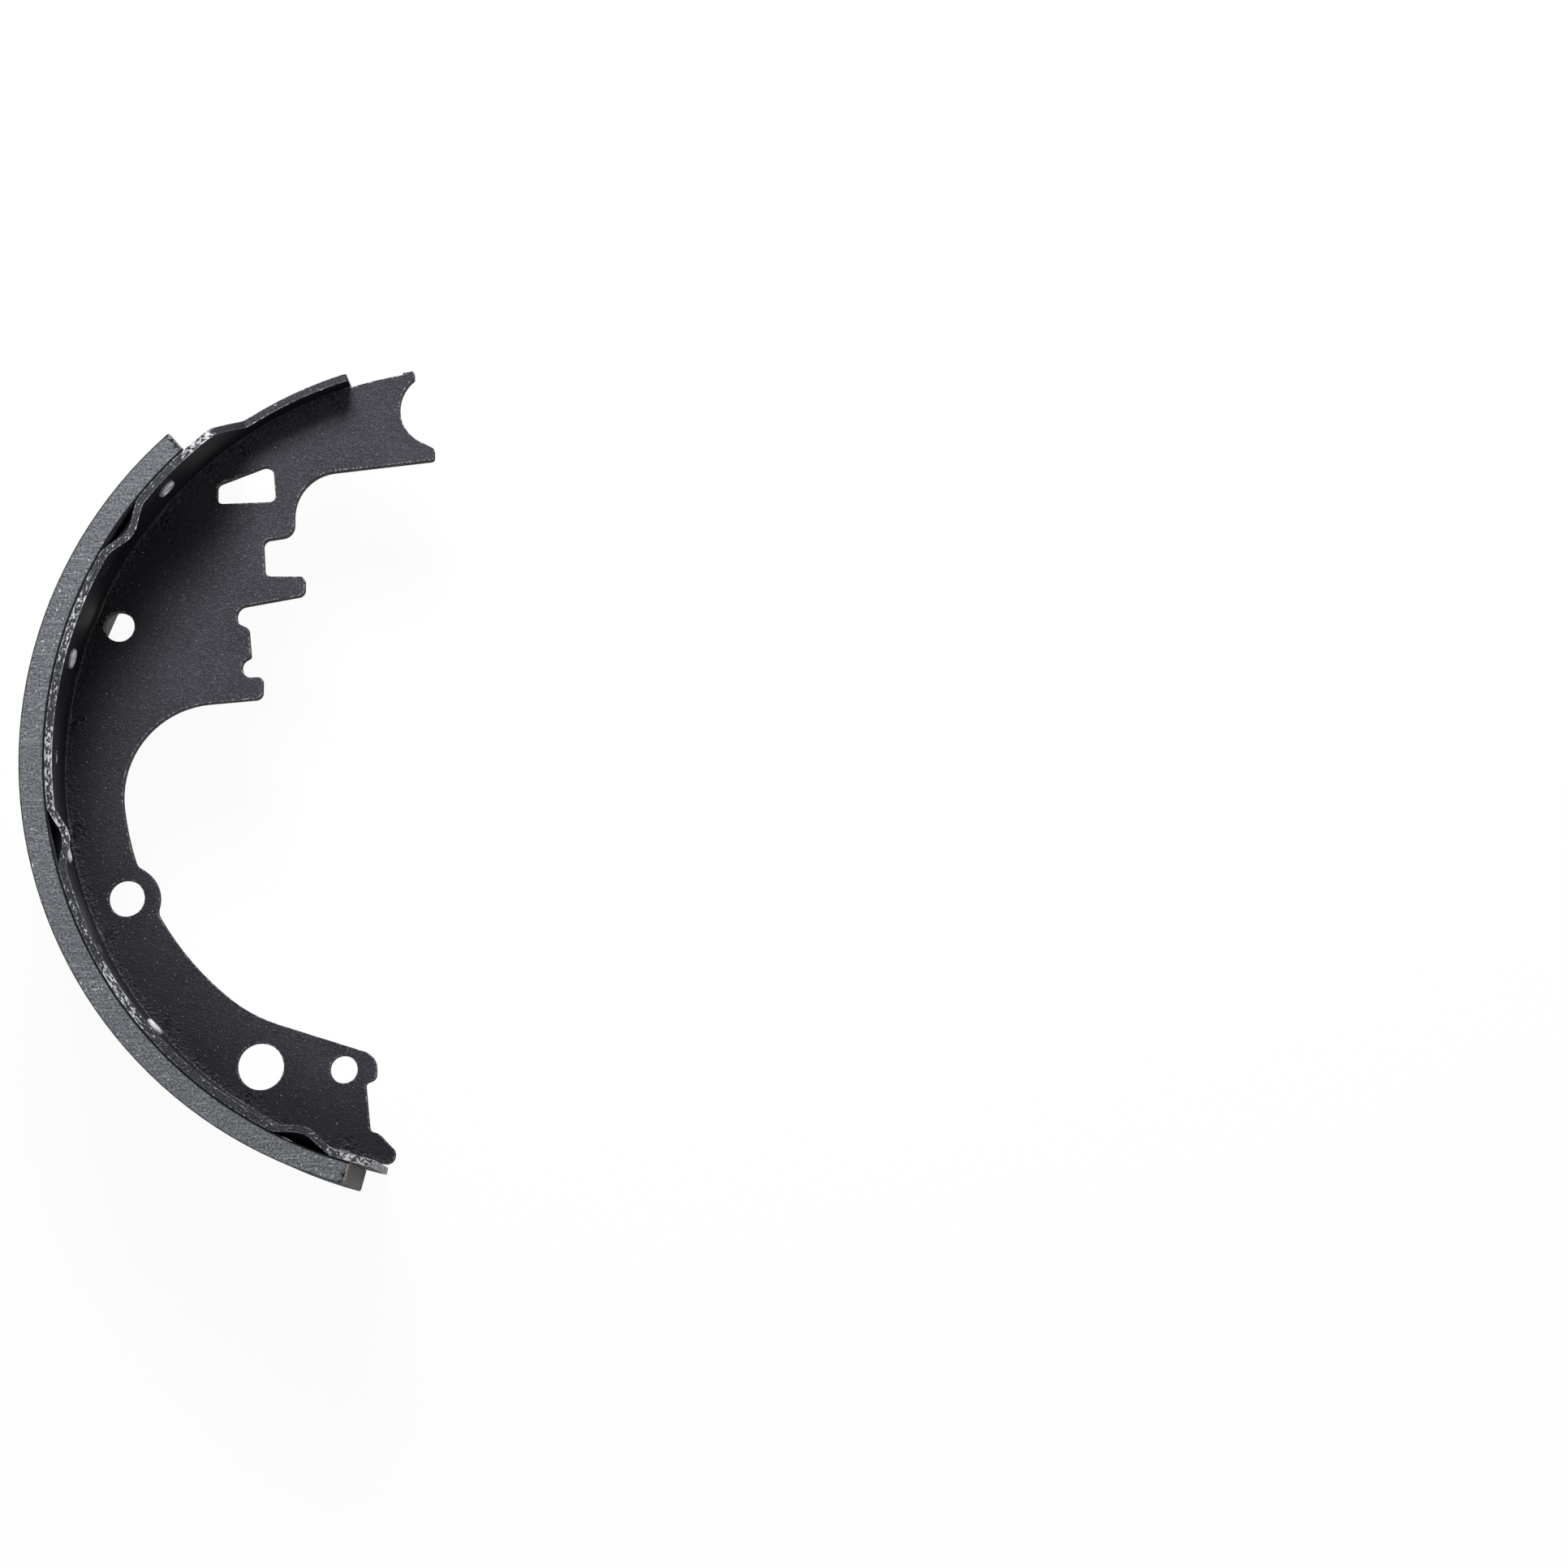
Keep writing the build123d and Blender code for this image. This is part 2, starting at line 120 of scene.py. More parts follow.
def start_group(name, inputs, outputs):
    """An empty node group with named inputs and outputs, given as (name, kind, start)."""
    group = bpy.data.node_groups.new(name, "ShaderNodeTree")
    for title, kind, start in inputs:
        socket = group.interface.new_socket(name=title, in_out="INPUT", socket_type=kind)
        if start is not None:
            socket.default_value = start
    for title in outputs:
        group.interface.new_socket(name=title, in_out="OUTPUT", socket_type="NodeSocketFloat")
    taken = add_node(group, "NodeGroupInput").outputs
    given = add_node(group, "NodeGroupOutput").inputs
    return group, taken, given


def noise(tree, place, fineness, detail):
    """Cloudiness from 0 to 1. Its fineness is how many lumps there are to a unit of place."""
    node = add_node(tree, "ShaderNodeTexNoise")
    feed(tree, place, node.inputs["Vector"])
    feed(tree, fineness, node.inputs["Scale"])
    feed(tree, detail, node.inputs["Detail"])
    return node.outputs["Fac"]


def combined(tree, how, *values):
    """Values put together by one Math node."""
    node = add_node(tree, "ShaderNodeMath", operation=how)
    for value, socket in zip(values, node.inputs):
        feed(tree, value, socket)
    return node.outputs["Value"]


def scaled(tree, value, by):
    """A value made weaker or stronger."""
    return combined(tree, "MULTIPLY", value, by)


def summed(tree, first, second):
    """One value added to another."""
    return combined(tree, "ADD", first, second)


def both(tree, first, second):
    """A mask that is full only where two masks are."""
    return combined(tree, "MULTIPLY", first, second)


def either(tree, first, second):
    """The stronger of two masks or values."""
    return combined(tree, "MAXIMUM", first, second)


def away_from(tree, value, middle):
    """How far a value is from a middle one, to either side."""
    return combined(tree, "ABSOLUTE", combined(tree, "SUBTRACT", value, middle))


def ranged(tree, source, limits, results=(0.0, 1.0)):
    """A value carried over from its two limits to two results, and held between them."""
    node = add_node(tree, "ShaderNodeMapRange")
    feed(tree, source, node.inputs["Value"])
    feed(tree, limits[0], node.inputs["From Min"])
    feed(tree, limits[1], node.inputs["From Max"])
    feed(tree, results[0], node.inputs["To Min"])
    feed(tree, results[1], node.inputs["To Max"])
    return node.outputs["Result"]


def mixed(tree, factor, low, high):
    """A colour between two, which are colours or other nodes' colours."""
    mix = add_node(tree, "ShaderNodeMix", data_type="RGBA")
    feed(tree, factor, mix.inputs["Factor"])
    colours = {socket.name: socket for socket in mix.inputs if socket.type == "RGBA"}
    feed(tree, low, colours["A"])
    feed(tree, high, colours["B"])
    return [socket for socket in mix.outputs if socket.type == "RGBA"][0]


def axes_of(tree, vector):
    """A vector's X, Y and Z."""
    apart = add_node(tree, "ShaderNodeSeparateXYZ")
    feed(tree, vector, apart.inputs["Vector"])
    return apart.outputs


def grain_group():
    """Coating grain: a fine height, a slow mottle and a mask of sparse bright specks."""
    inputs = (
        ("Position", "NodeSocketVector", None),
        ("Grain Fineness", "NodeSocketFloat", 1700.0),
        ("Mottle Fineness", "NodeSocketFloat", 60.0),
        ("Speck Fineness", "NodeSocketFloat", 900.0),
        ("Speck Limit", "NodeSocketFloat", 0.73),
    )
    group, taken, given = start_group("coating_grain", inputs, ("Grain", "Mottle", "Specks"))
    place = taken["Position"]
    feed(group, noise(group, place, taken["Grain Fineness"], detail=3), given["Grain"])
    feed(group, noise(group, place, taken["Mottle Fineness"], detail=4), given["Mottle"])
    specks = noise(group, place, taken["Speck Fineness"], detail=1)
    full = summed(group, taken["Speck Limit"], speck_softness)
    feed(group, ranged(group, specks, limits=(taken["Speck Limit"], full)), given["Specks"])
    return group


def arc_group():
    """Where a point lies round an upright axis: its radius in metres and its angle in degrees."""
    inputs = (("Position", "NodeSocketVector", None), ("Centre", "NodeSocketVector", rim_centre))
    group, taken, given = start_group("arc_place", inputs, ("Radius", "Angle"))
    moved = add_node(group, "ShaderNodeVectorMath", operation="SUBTRACT")
    feed(group, taken["Position"], moved.inputs[0])
    feed(group, taken["Centre"], moved.inputs[1])
    axes = axes_of(group, moved.outputs["Vector"])
    level = add_node(group, "ShaderNodeCombineXYZ")
    feed(group, axes["X"], level.inputs["X"])
    feed(group, axes["Y"], level.inputs["Y"])
    length = add_node(group, "ShaderNodeVectorMath", operation="LENGTH")
    feed(group, level.outputs["Vector"], length.inputs[0])
    feed(group, length.outputs["Value"], given["Radius"])
    turn = combined(group, "ARCTAN2", axes["Y"], scaled(group, axes["X"], by=-1.0))
    feed(group, scaled(group, turn, by=degrees(1.0)), given["Angle"])
    return group


def edge_group():
    """Rubbed edges: how far a rounded normal turns away from the face's own, broken up."""
    inputs = (
        ("Position", "NodeSocketVector", None),
        ("Width", "NodeSocketFloat", 0.0004),
        ("Break Fineness", "NodeSocketFloat", 900.0),
        ("Break Limit", "NodeSocketFloat", 0.5),
    )
    group, taken, given = start_group("rubbed_edge", inputs, ("Edge", "Corner"))
    rounded = add_node(group, "ShaderNodeBevel", samples=4)
    feed(group, taken["Width"], rounded.inputs["Radius"])
    geometry = add_node(group, "ShaderNodeNewGeometry")
    agreement = add_node(group, "ShaderNodeVectorMath", operation="DOT_PRODUCT")
    feed(group, rounded.outputs["Normal"], agreement.inputs[0])
    feed(group, geometry.outputs["True Normal"], agreement.inputs[1])
    turned = ranged(group, agreement.outputs["Value"], limits=corner_limits)
    feed(group, turned, given["Corner"])
    broken = noise(group, taken["Position"], taken["Break Fineness"], detail=4)
    full = summed(group, taken["Break Limit"], break_softness)
    kept = ranged(group, broken, limits=(taken["Break Limit"], full))
    feed(group, both(group, turned, kept), given["Edge"])
    return group


coating_grain = grain_group()
arc_place = arc_group()
rubbed_edge = edge_group()


def start_material(name):
    """A material with its shader, the object's own coordinates and an empty tree."""
    material = bpy.data.materials.new(name)
    material.use_nodes = True
    tree = material.node_tree
    tree.nodes.clear()
    output = add_node(tree, "ShaderNodeOutputMaterial")
    shader = add_node(tree, "ShaderNodeBsdfPrincipled")
    feed(tree, shader.outputs["BSDF"], output.inputs["Surface"])
    shader.inputs["Specular Tint"].default_value = gloss_tint
    place = add_node(tree, "ShaderNodeTexCoord").outputs["Object"]
    return material, tree, shader, place


def place_group(tree, group, place, **values):
    """A node group put in a material, with this material's own values."""
    node = add_node(tree, "ShaderNodeGroup")
    node.node_tree = group
    feed(tree, place, node.inputs["Position"])
    for name, value in values.items():
        feed(tree, value, node.inputs[name.replace("_", " ").title()])
    return node.outputs


def dress(tree, shader, colour, rough, gloss=0.5):
    """Gives the shader its colour and roughness, and how strongly it shines."""
    feed(tree, colour, shader.inputs["Base Color"])
    feed(tree, rough, shader.inputs["Roughness"])
    shader.inputs["Specular IOR Level"].default_value = gloss


def bump(tree, shader, height, strength, distance):
    """Roughens the shader's normal by a height."""
    node = add_node(tree, "ShaderNodeBump")
    node.inputs["Strength"].default_value = strength
    node.inputs["Distance"].default_value = distance
    feed(tree, height, node.inputs["Height"])
    feed(tree, node.outputs["Normal"], shader.inputs["Normal"])


def flat_side(tree):
    """How far the surface faces up or down: 1 on the flat side, 0 on an upright wall."""
    normal = add_node(tree, "ShaderNodeNewGeometry").outputs["True Normal"]
    return combined(tree, "ABSOLUTE", axes_of(tree, normal)["Z"])


def from_spot(tree, angle):
    """How far an angle is from the nearest spot weld, as a share of the welds' pitch."""
    turns = combined(tree, "DIVIDE", combined(tree, "SUBTRACT", angle, weld_top_angle), weld_pitch)
    return away_from(tree, combined(tree, "FRACT", summed(tree, turns, spot_count_start)), spot_at)


def weld_flash(tree, arc, place):
    """Where flash lies on the web: a band beside the rim and a burst at each spot weld."""
    band = ranged(tree, arc["Radius"], flash_band, results=(0.0, flash_band_strength))
    shake = ranged(tree, noise(tree, place, fineness=500, detail=3), cloud_limits, burst_shake)
    beside_spot = summed(tree, from_spot(tree, arc["Angle"]), shake)
    burst = ranged(tree, beside_spot, burst_reach, results=(1.0, 0.0))
    burst = both(tree, burst, ranged(tree, arc["Radius"], burst_band))
    ends = (flash_end, flash_end + flash_end_fade)
    on_rim = ranged(tree, arc["Angle"], ends, results=(1.0, 0.0))
    return both(tree, either(tree, band, burst), on_rim)


def painted_rim_shade(tree, arc):
    """How dark the web is painted with the rim's shade: most beside the rim, and less toward the
    anchor end.
    """
    beside_rim = ranged(tree, arc["Radius"], rim_shade_band, results=(0.0, rim_shade_strength))
    thinner = ranged(tree, arc["Angle"], rim_shade_thinning, results=(1.0, rim_shade_at_anchor_end))
    return both(tree, beside_rim, thinner)


def flash_crust(tree, flash, place, colour):
    """Colours the flash with black pits and grey crumbs. Also gives its pits and its relief."""
    lumps = noise(tree, place, fineness=1500, detail=2)
    hollows = noise(tree, place, fineness=800, detail=4)
    pits = both(tree, flash, ranged(tree, hollows, limits=(0.42, 0.5), results=(1.0, 0.0)))
    colour = mixed(tree, pits, colour, flash_black)
    crumbs = both(tree, flash, ranged(tree, lumps, limits=(0.6, 0.68), results=(0.0, 0.7)))
    colour = mixed(tree, crumbs, colour, flash_speck)
    uneven = combined(tree, "SUBTRACT", summed(tree, lumps, hollows), relief_middle)
    relief = both(tree, flash, scaled(tree, uneven, by=relief_strength))
    return colour, pits, relief


def sheared_wall(tree, wall, place, colour):
    """Darkens the sheared walls and draws the upright lines that the press tool leaves."""
    upright = add_node(tree, "ShaderNodeMapping")
    upright.inputs["Scale"].default_value = drag_line_pattern
    feed(tree, place, upright.inputs["Vector"])
    lines = noise(tree, upright.outputs["Vector"], fineness=1, detail=3)
    drag = ranged(tree, lines, limits=(0.45, 0.7), results=(0.0, 0.6))
    sheared = mixed(tree, drag, sheared_grey, web_grain)
    return mixed(tree, scaled(tree, wall, by=0.8), colour, sheared)


def bare_edges(tree, wall, edge, place):
    """Where the coating is gone: chips on the sheared walls, and rubbed edges."""
    chips = noise(tree, place, fineness=1200, detail=5)
    chips = summed(tree, chips, scaled(tree, edge["Corner"], by=0.1))
    chipped = ranged(tree, chips, limits=(0.66, 0.72), results=(0.0, 0.95))
    return either(tree, both(tree, wall, chipped), scaled(tree, edge["Edge"], by=0.8))


def coated_web():
    """Charcoal coating on the web: grain, sparse specks, painted shade beside the rim, sheared
    walls and weld flash.
    """
    material, tree, shader, place = start_material("web_charcoal_coating")
    grain = place_group(tree, coating_grain, place, speck_fineness=1800.0, speck_limit=0.725)
    arc = place_group(tree, arc_place, place)
    edge = place_group(
        tree, rubbed_edge, place, width=0.0009, break_fineness=1300.0, break_limit=0.52
    )
    wall = ranged(tree, flat_side(tree), limits=(0.2, 0.5), results=(1.0, 0.0))
    mottle = ranged(tree, grain["Mottle"], cloud_limits)
    colour = mixed(tree, mottle, web_black, web_charcoal)
    fine = ranged(tree, grain["Grain"], limits=(0.46, 0.68), results=(0.0, 0.9))
    colour = mixed(tree, fine, colour, web_grain)
    # painted shade where the rim keeps light off the web
    colour = mixed(tree, painted_rim_shade(tree, arc), colour, coat_black_and_painted_shade)
    colour = mixed(tree, scaled(tree, grain["Specks"], by=0.6), colour, web_speck)
    flash = weld_flash(tree, arc, place)
    colour, pits, relief = flash_crust(tree, flash, place, colour)
    colour = sheared_wall(tree, wall, place, colour)
    worn = bare_edges(tree, wall, edge, place)
    colour = mixed(tree, worn, colour, bare_steel)
    satin = ranged(tree, grain["Mottle"], cloud_limits, results=(0.46, 0.58))
    dull = scaled(tree, either(tree, wall, pits), by=0.85)
    dress(tree, shader, colour, either(tree, satin, dull), gloss=0.35)
    feed(tree, scaled(tree, worn, by=0.6), shader.inputs["Metallic"])
    height = summed(tree, scaled(tree, grain["Grain"], by=0.22), relief)
    bump(tree, shader, height, strength=0.75, distance=0.0008)
    return material


def repaint(node_name, material):
    """Puts a finish on every material slot of a carried-over piece."""
    node = frame["nodes"][node_name]
    if not node.data.materials:
        node.data.materials.append(material)
    for index in range(len(node.data.materials)):
        node.data.materials[index] = material


repaint("web", coated_web())

# Rim: strip steel rolled to the arc, with nibs pressed in on both side edges and the tab
# blanked at the anchor end. It is spot welded to the web and coated with it. Its side edges
# ride on the backing plate and get handled most, so they are chipped in long stretches.
rim_low_end = -77.7
end_wall_limits = (rim_low_end + 0.1, rim_low_end + 0.4)
edge_grey = (0.07, 0.072, 0.08, 1)
edge_pit = (0.012, 0.0122, 0.0145, 1)
chip_bright = (0.52, 0.53, 0.545, 1)

# The chips are drawn out: in their pattern a degree counts as this many metres, about half its
# real length, and a height counts as this share of the real one.
chip_degree = 0.0011
chip_height = 0.6

# Angles round the rim and how worn the side edge is there, judged from 0 to 1
wear_stops = (
    (-78, 1.0), (-73, 0.9), (-70, 0.0), (-44, 0.1), (-41, 0.3), (-38, 0.95), (-31, 0.95),
    (-29, 0.35), (-20, 0.35), (-17, 0.0), (-14, 0.2), (-12, 0.7), (-6, 0.8), (-4, 1.0),
    (2, 1.0), (4, 0.35), (9, 0.55), (13, 0.4), (17, 0.8), (21, 0.85), (25, 0.2),
    (46, 0.1), (48, 0.9), (52, 1.0), (54, 0.05), (72, 0.0),
)


def wear_along_rim(tree, angle):
    """How worn the rim's side edge is at each angle, from 0 to 1."""
    first = wear_stops[0][0]
    last = wear_stops[-1][0]
    ramp = add_node(tree, "ShaderNodeValToRGB")
    stops = ramp.color_ramp.elements
    for at, worn in wear_stops:
        if at == first:
            stop = stops[0]
        elif at == last:
            stop = stops[-1]
        else:
            stop = stops.new((at - first) / (last - first))
        stop.color = (worn, worn, worn, 1)
    feed(tree, ranged(tree, angle, limits=(first, last)), ramp.inputs["Fac"])
    return ramp.outputs["Color"]


def rim_chips(tree, arc, edge, place):
    """Chips along the rim, more of them on its corners and where its edge is worn; on the corners
    they are partly painted highlight.
    """
    drawn_out = add_node(tree, "ShaderNodeCombineXYZ")
    feed(tree, arc["Radius"], drawn_out.inputs["X"])
    feed(tree, scaled(tree, arc["Angle"], by=chip_degree), drawn_out.inputs["Y"])
    feed(tree, scaled(tree, axes_of(tree, place)["Z"], by=chip_height), drawn_out.inputs["Z"])
    chips = noise(tree, drawn_out.outputs["Vector"], fineness=1700, detail=5)
    # More chips on the corners: partly wear, partly painted highlight along the corners.
    chips = summed(tree, chips, scaled(tree, edge["Corner"], by=0.12))
    chips = summed(tree, chips, scaled(tree, wear_along_rim(tree, arc["Angle"]), by=0.17))
    return ranged(tree, chips, limits=(0.655, 0.715))


def coated_rim():
    """The coating on the rim, with speckled side edges, bright chips and bright corner lines that
    are partly painted highlight.
    """
    material, tree, shader, place = start_material("rim_charcoal_coating")
    grain = place_group(tree, coating_grain, place)
    arc = place_group(tree, arc_place, place)
    edge = place_group(
        tree, rubbed_edge, place, width=0.0006, break_fineness=1300.0, break_limit=0.47
    )
    mottle = ranged(tree, grain["Mottle"], cloud_limits)
    colour = mixed(tree, mottle, coat_black_and_painted_shade, web_black)
    side_edge = ranged(tree, flat_side(tree), limits=(0.5, 0.7))
    pitted = ranged(tree, noise(tree, place, fineness=2300, detail=3), limits=(0.46, 0.66))
    colour = mixed(tree, side_edge, colour, mixed(tree, pitted, edge_pit, edge_grey))
    chipped = rim_chips(tree, arc, edge, place)
    end_wall = ranged(tree, arc["Angle"], end_wall_limits, results=(1.0, 0.0))
    worn = both(tree, either(tree, side_edge, end_wall), chipped)
    # The bright lines along the side edge's corners are partly rubbed coating and partly painted
    # highlight.
    worn = either(tree, worn, scaled(tree, edge["Edge"], by=0.35))
    colour = mixed(tree, worn, colour, chip_bright)
    rough = ranged(tree, grain["Mottle"], cloud_limits, results=(0.56, 0.68))
    dress(tree, shader, colour, rough, gloss=0.3)
    feed(tree, scaled(tree, worn, by=0.5), shader.inputs["Metallic"])
    bump(tree, shader, summed(tree, grain["Grain"], chipped), strength=0.4, distance=0.00015)
    return material


repaint("rim", coated_rim())

# Weld flash: metal squeezed out of the spot welds along the corner between web and rim, on
# both faces of the web. It sets as a low rough bead, lumpier at each spot, under the coating.
web_low, web_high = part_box("web")
flash_start = -76.5
flash_radius = rim_inner_radius - 0.0001
flash_size = 0.0009
flash_swell = (1.5, 0.8)
flash_swell_reach = (0.02, 0.13)
flash_flatness = 0.45
flash_lump = 0.0013
flash_lump_fineness = 900
lump_middle = (0.5, 0.5, 0.5)
flash_steps = 1500
flash_sides = 10
merge_distance = 0.000001


def swelling_bead(tree, taken):
    """A ring swept along the rim's arc, thicker at each spot weld."""
    arc = add_node(tree, "GeometryNodeCurveArc", mode="RADIUS")
    arc.inputs["Resolution"].default_value = flash_steps
    feed(tree, taken["Radius"], arc.inputs["Radius"])
    feed(tree, taken["Start Angle"], arc.inputs["Start Angle"])
    feed(tree, taken["Sweep"], arc.inputs["Sweep Angle"])
    along = add_node(tree, "GeometryNodeSplineParameter").outputs["Factor"]
    angle = summed(tree, scaled(tree, along, by=flash_start - flash_end), flash_end)
    swell = ranged(tree, from_spot(tree, angle), flash_swell_reach, flash_swell)
    ring = add_node(tree, "GeometryNodeCurvePrimitiveCircle", mode="RADIUS")
    ring.inputs["Resolution"].default_value = flash_sides
    ring.inputs["Radius"].default_value = 1.0
    swept = add_node(tree, "GeometryNodeCurveToMesh")
    feed(tree, arc.outputs["Curve"], swept.inputs["Curve"])
    feed(tree, ring.outputs["Curve"], swept.inputs["Profile Curve"])
    feed(tree, both(tree, taken["Bead Size"], swell), swept.inputs["Scale"])
    return swept.outputs["Mesh"]


def roughened(tree, mesh):
    """The bead with its surface pushed about by noise."""
    lumps = add_node(tree, "ShaderNodeTexNoise")
    lumps.inputs["Scale"].default_value = flash_lump_fineness
    lumps.inputs["Detail"].default_value = 3
    place = add_node(tree, "GeometryNodeInputPosition").outputs["Position"]
    feed(tree, place, lumps.inputs["Vector"])
    centred = add_node(tree, "ShaderNodeVectorMath", operation="SUBTRACT")
    centred.inputs[1].default_value = lump_middle
    feed(tree, lumps.outputs["Color"], centred.inputs[0])
    pushed = add_node(tree, "ShaderNodeVectorMath", operation="SCALE")
    pushed.inputs["Scale"].default_value = flash_lump
    feed(tree, centred.outputs["Vector"], pushed.inputs[0])
    rough = add_node(tree, "GeometryNodeSetPosition")
    feed(tree, mesh, rough.inputs["Geometry"])
    feed(tree, pushed.outputs["Vector"], rough.inputs["Offset"])
    return rough.outputs["Geometry"]


def flash_tree(material):
    """A rough flattened bead along the rim's arc, lifted to one face of the web."""
    tree = bpy.data.node_groups.new("weld_flash_bead", "GeometryNodeTree")
    tree.interface.new_socket(name="Geometry", in_out="INPUT", socket_type="NodeSocketGeometry")
    for title in ("Radius", "Start Angle", "Sweep", "Bead Size", "Height"):
        tree.interface.new_socket(name=title, in_out="INPUT", socket_type="NodeSocketFloat")
    tree.interface.new_socket(name="Geometry", in_out="OUTPUT", socket_type="NodeSocketGeometry")
    taken = add_node(tree, "NodeGroupInput").outputs
    offset = add_node(tree, "ShaderNodeCombineXYZ")
    offset.inputs["X"].default_value = rim_centre.x
    offset.inputs["Y"].default_value = rim_centre.y
    feed(tree, taken["Height"], offset.inputs["Z"])
    placed = add_node(tree, "GeometryNodeTransform")
    placed.inputs["Scale"].default_value = (1, 1, flash_flatness)
    feed(tree, roughened(tree, swelling_bead(tree, taken)), placed.inputs["Geometry"])
    feed(tree, offset.outputs["Vector"], placed.inputs["Translation"])
    real = add_node(tree, "GeometryNodeRealizeInstances")
    coated = add_node(tree, "GeometryNodeSetMaterial")
    coated.inputs["Material"].default_value = material
    result = add_node(tree, "NodeGroupOutput")
    feed(tree, placed.outputs["Geometry"], real.inputs["Geometry"])
    feed(tree, real.outputs["Geometry"], coated.inputs["Geometry"])
    feed(tree, coated.outputs["Geometry"], result.inputs["Geometry"])
    return tree


def close_shell(mesh):
    """Merges the mesh's doubles, caps its ends and turns its faces outwards."""
    shell = bmesh.new()
    shell.from_mesh(mesh)
    bmesh.ops.remove_doubles(shell, verts=shell.verts, dist=merge_distance)
    bmesh.ops.holes_fill(shell, edges=[edge for edge in shell.edges if edge.is_boundary])
    bmesh.ops.recalc_face_normals(shell, faces=shell.faces)
    shell.to_mesh(mesh)
    shell.free()
    mesh.polygons.foreach_set("use_smooth", [True] * len(mesh.polygons))


def make_flash(name, height, tree):
    """One bead, turned into a plain mesh that rides with the shoe."""
    carrier = bpy.data.objects.new(name, bpy.data.meshes.new(name))
    bpy.context.scene.collection.objects.link(carrier)
    modifier = carrier.modifiers.new("bead", "NODES")
    modifier.node_group = tree
    values = {
        "Radius": flash_radius,
        "Start Angle": radians(180 - flash_end),
        "Sweep": radians(flash_end - flash_start),
        "Bead Size": flash_size,
        "Height": height,
    }
    for item in tree.interface.items_tree:
        if item.in_out == "INPUT" and item.name in values:
            modifier[item.identifier] = values[item.name]
    bpy.context.view_layer.update()
    graph = bpy.context.evaluated_depsgraph_get()
    mesh = bpy.data.meshes.new_from_object(carrier.evaluated_get(graph))
    carrier.modifiers.remove(modifier)
    close_shell(mesh)
    carrier.data = mesh
    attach(carrier, "root")


def coated_flash():
    """Black rough coating over the bead, rubbed grey on its crumbs."""
    material, tree, shader, place = start_material("weld_flash_coating")
    grain = place_group(tree, coating_grain, place, speck_fineness=1500.0, speck_limit=0.6)
    fine = ranged(tree, grain["Grain"], limits=(0.35, 0.65))
    colour = mixed(tree, fine, flash_black, web_black)
    colour = mixed(tree, scaled(tree, grain["Specks"], by=0.7), colour, flash_speck)
    rough = ranged(tree, grain["Grain"], cloud_limits, results=(0.4, 0.65))
    dress(tree, shader, colour, rough)
    bump(tree, shader, grain["Grain"], strength=0.5, distance=0.0002)
    return material


flash_bead = flash_tree(coated_flash())
make_flash("weld_flash_near", web_high.z, flash_bead)
make_flash("weld_flash_far", web_low.z, flash_bead)

# Lining: a block of moulded friction material with fibres and metal chips in it. Its outer
# face is ground to the drum, its side faces are ground across and show slanting scratches,
# and its ends are cut, which leaves them browner. Ten rivets hold it to the rim.
lining_seat_radius = 0.13335
lining_middle_angle = -13.55
lining_half_angle = 61.15
side_scratch_turn = radians(-40)
side_scratch_pattern = (90, 2600, 500)
face_streaks_per_degree = 2.4
face_streaks_per_metre = 60.0
end_ragged = (-0.3, 0.3)
end_limits = (lining_half_angle - 0.4, lining_half_angle - 0.32)
end_crack = lining_half_angle - 0.45
end_crack_width = 0.1
outer_border = (drum_radius - 0.00055, drum_radius - 0.00015)
inner_border = (lining_seat_radius + 0.00045, lining_seat_radius + 0.0008)
lining_grey = (0.084, 0.0905, 0.098, 1)
lining_pale = (0.15, 0.16, 0.172, 1)
lining_dust = (0.03, 0.033, 0.037, 1)
lining_flake = (0.62, 0.64, 0.65, 1)
lining_scratch = (0.3, 0.315, 0.33, 1)
lining_brown = (0.3, 0.27, 0.24, 1)
lining_umber = (0.05, 0.045, 0.04, 1)
lining_rim_shade = (0.0015, 0.0015, 0.002, 1)


def moulded_mix(tree, grain, mottle):
    """The moulded body: pale and grey patches, dust in its pores and fine glints."""
    colour = mixed(tree, mottle, lining_grey, lining_pale)
    dust = ranged(tree, grain["Grain"], limits=(0.5, 0.36), results=(0.0, 0.8))
    colour = mixed(tree, dust, colour, lining_dust)
    glints = ranged(tree, grain["Grain"], limits=(0.56, 0.7), results=(0.0, 0.7))
    return mixed(tree, glints, colour, lining_scratch)


def side_scratches(tree, place):
    """Slanting scratches, all one way."""
    turned = add_node(tree, "ShaderNodeMapping")
    turned.inputs["Rotation"].default_value = (0, 0, side_scratch_turn)
    turned.inputs["Scale"].default_value = side_scratch_pattern
    feed(tree, place, turned.inputs["Vector"])
    lines = noise(tree, turned.outputs["Vector"], fineness=1, detail=3)
    return ranged(tree, lines, limits=(0.54, 0.74), results=(0.0, 0.7))


def face_streaks(tree, drum, place):
    """Faint grinding streaks across the drum face."""
    across = add_node(tree, "ShaderNodeCombineXYZ")
    height = axes_of(tree, place)["Z"]
    feed(tree, scaled(tree, drum["Angle"], by=face_streaks_per_degree), across.inputs["X"])
    feed(tree, scaled(tree, height, by=face_streaks_per_metre), across.inputs["Y"])
    lines = noise(tree, across.outputs["Vector"], fineness=1, detail=4)
    return ranged(tree, lines, limits=(0.5, 0.7), results=(0.0, 0.55))


def crowded_flakes(tree, grain, on_face, place):
    """Metal flakes, everywhere on the drum face and in crowds on the sides."""
    crowd = noise(tree, place, fineness=70, detail=2)
    crowd = ranged(tree, crowd, limits=(0.44, 0.6), results=(0.25, 1.0))
    return both(tree, grain["Specks"], either(tree, crowd, on_face))


def from_middle(tree, arc, place):
    """How many degrees a point is from the lining's middle, made uneven for a ragged end."""
    ragged = ranged(tree, noise(tree, place, fineness=700, detail=4), cloud_limits, end_ragged)
    return summed(tree, away_from(tree, arc["Angle"], lining_middle_angle), ragged)


